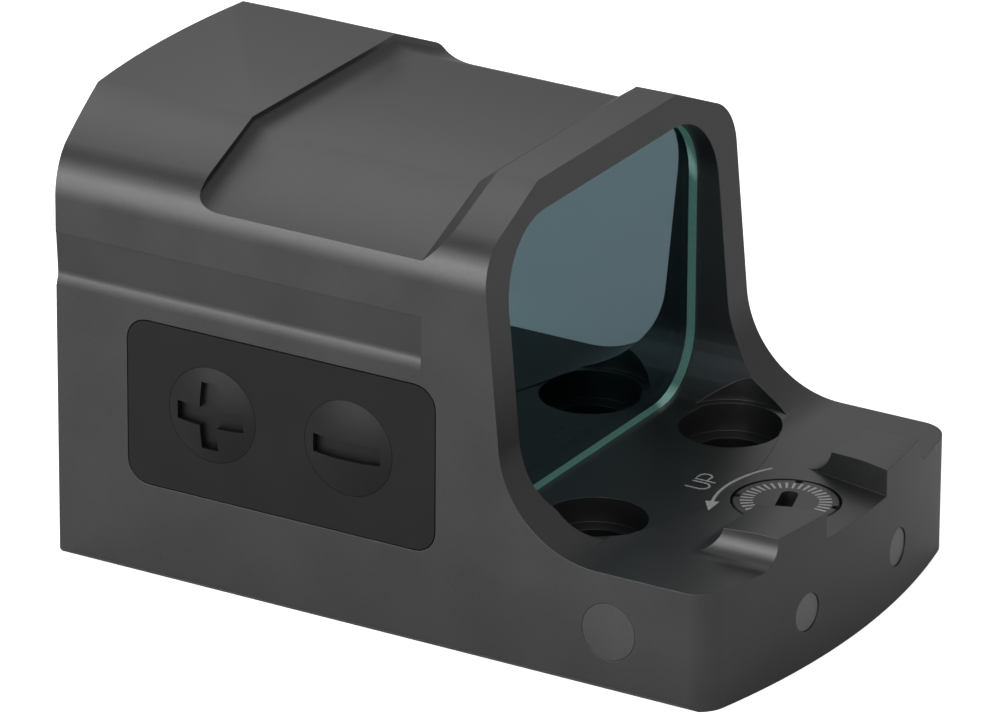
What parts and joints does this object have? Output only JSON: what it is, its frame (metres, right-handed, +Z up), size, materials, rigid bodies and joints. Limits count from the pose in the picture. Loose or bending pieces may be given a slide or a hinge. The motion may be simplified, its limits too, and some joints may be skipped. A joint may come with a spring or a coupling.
{
  "type": "enclosed micro reflex sight",
  "caption": "Enclosed micro red-dot sight: anodised hood with sealed windows, two-key pad, notched deck with elevation dial, windage screw and side battery tray.",
  "frame": {"origin": "middle of the base, on the mounting plane", "axes": "+Y towards the objective end, +X to the user's right, +Z up"},
  "size_m": [0.0258, 0.041, 0.0237],
  "materials": {
    "anodised_housing": "fine bead-blasted dark grey anodising",
    "coated_glass": "coated, with a blue-green reflection",
    "rubber": "matte black",
    "circuit_board": "solder mask",
    "steel": "plain",
    "black_steel": "blackened",
    "brass": "machined",
    "polymer": "matte black",
    "led_package": "clear red"
  },
  "bodies": {
    "housing": {"housing": "anodised_housing", "rear_window": "coated_glass", "rear_window_stop": "rubber", "front_lens": "coated_glass", "front_ring": "anodised_housing", "keypad_pad": "rubber", "keypad_board": "circuit_board", "plus_switch": "steel", "minus_switch": "steel", "elevation_spring": "steel", "windage_spring": "steel", "side_plug": "anodised_housing", "rear_plug_right": "steel", "rear_plug_left": "steel", "tray_seal": "rubber", "contact_positive": "brass", "contact_negative": "brass", "main_board": "circuit_board", "bottom_cover": "anodised_housing", "cover_screw_front": "black_steel", "cover_screw_rear": "black_steel"},
    "plus_key": {"plus_button": "rubber"},
    "minus_key": {"minus_button": "rubber"},
    "elevation_dial": {"elevation_dial": "black_steel", "elevation_clip": "steel"},
    "windage_dial": {"windage_dial": "black_steel", "windage_clip": "steel"},
    "emitter_carriage": {"emitter_carriage": "brass"},
    "emitter_block": {"emitter_block": "polymer", "led_emitter": "led_package"},
    "battery_tray": {"battery_tray": "anodised_housing", "battery": "steel"},
    "tray_screw_rear": {"tray_screw_rear": "black_steel"},
    "tray_screw_front": {"tray_screw_front": "black_steel"}
  },
  "joints": [
    {"name": "plus_press", "type": "slide", "parent": "housing", "child": "plus_key", "axis": [1, 0, 0], "range_m": [0, 0.00035], "stiffness_N_per_m": 1500},
    {"name": "minus_press", "type": "slide", "parent": "housing", "child": "minus_key", "axis": [1, 0, 0], "range_m": [0, 0.00035], "stiffness_N_per_m": 1500},
    {"name": "elevation_turn", "type": "hinge", "parent": "housing", "child": "elevation_dial", "pos_m": [0, -0.01635, 0.00628], "axis": [0, 0, 1], "range_deg": [-300, 300]},
    {"name": "elevation_lift", "type": "slide", "parent": "housing", "child": "emitter_carriage", "axis": [0, 0, 1], "range_m": [-0.0003, 0.0003], "deforming": ["elevation_spring"]},
    {"name": "windage_turn", "type": "hinge", "parent": "housing", "child": "windage_dial", "pos_m": [0.0125, -0.01335, 0.00322], "axis": [1, 0, 0], "range_deg": [-300, 300]},
    {"name": "windage_shift", "type": "slide", "parent": "emitter_carriage", "child": "emitter_block", "axis": [1, 0, 0], "range_m": [-0.0003, 0.0003], "deforming": ["windage_spring"]},
    {"name": "tray_slide", "type": "slide", "parent": "housing", "child": "battery_tray", "axis": [1, 0, 0], "range_m": [0, 0.0185]},
    {"name": "tray_screw_rear_turn", "type": "hinge", "parent": "battery_tray", "child": "tray_screw_rear", "pos_m": [0.0125, -0.00179, 0.00328], "axis": [1, 0, 0], "continuous": true},
    {"name": "tray_screw_front_turn", "type": "hinge", "parent": "battery_tray", "child": "tray_screw_front", "pos_m": [0.0125, 0.01765, 0.00328], "axis": [1, 0, 0], "continuous": true}
  ],
  "couplings": [
    {"joint": "elevation_turn", "follows": "elevation_lift", "rad_per_m": -17453},
    {"joint": "windage_turn", "follows": "windage_shift", "rad_per_m": -17453}
  ]
}
